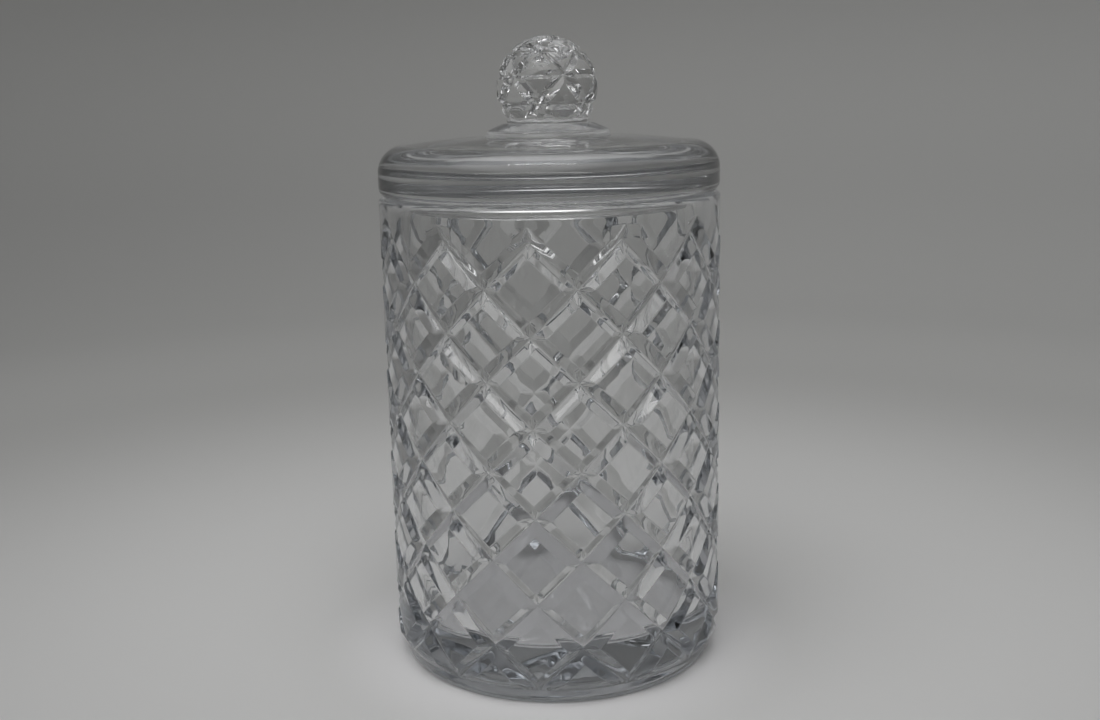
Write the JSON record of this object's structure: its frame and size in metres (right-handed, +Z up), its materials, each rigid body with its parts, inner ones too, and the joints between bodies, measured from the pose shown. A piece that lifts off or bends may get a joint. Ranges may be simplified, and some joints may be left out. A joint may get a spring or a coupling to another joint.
{
  "type": "lidded glass jar",
  "caption": "Tall round clear glass jar with a pressed diamond lattice, a thick loose lid and a star-cut ball finial.",
  "frame": {"origin": "centre of the base, on the surface that the jar stands on", "axes": "+Z up along the jar's axis; a column of groove crossings faces -Y"},
  "size_m": [0.1112, 0.1112, 0.2049],
  "materials": {
    "clear_glass": "fire-polished clear pressed glass, smooth, with a slightly wavy skin"
  },
  "bodies": {
    "jar": {"jar_body": "clear_glass"},
    "lid": {"lid_disc": "clear_glass", "finial": "clear_glass"}
  },
  "joints": [
    {"name": "lid_lift", "type": "slide", "parent": "jar", "child": "lid", "axis": [0, 0, 1], "range_m": [0, 0.06]}
  ]
}
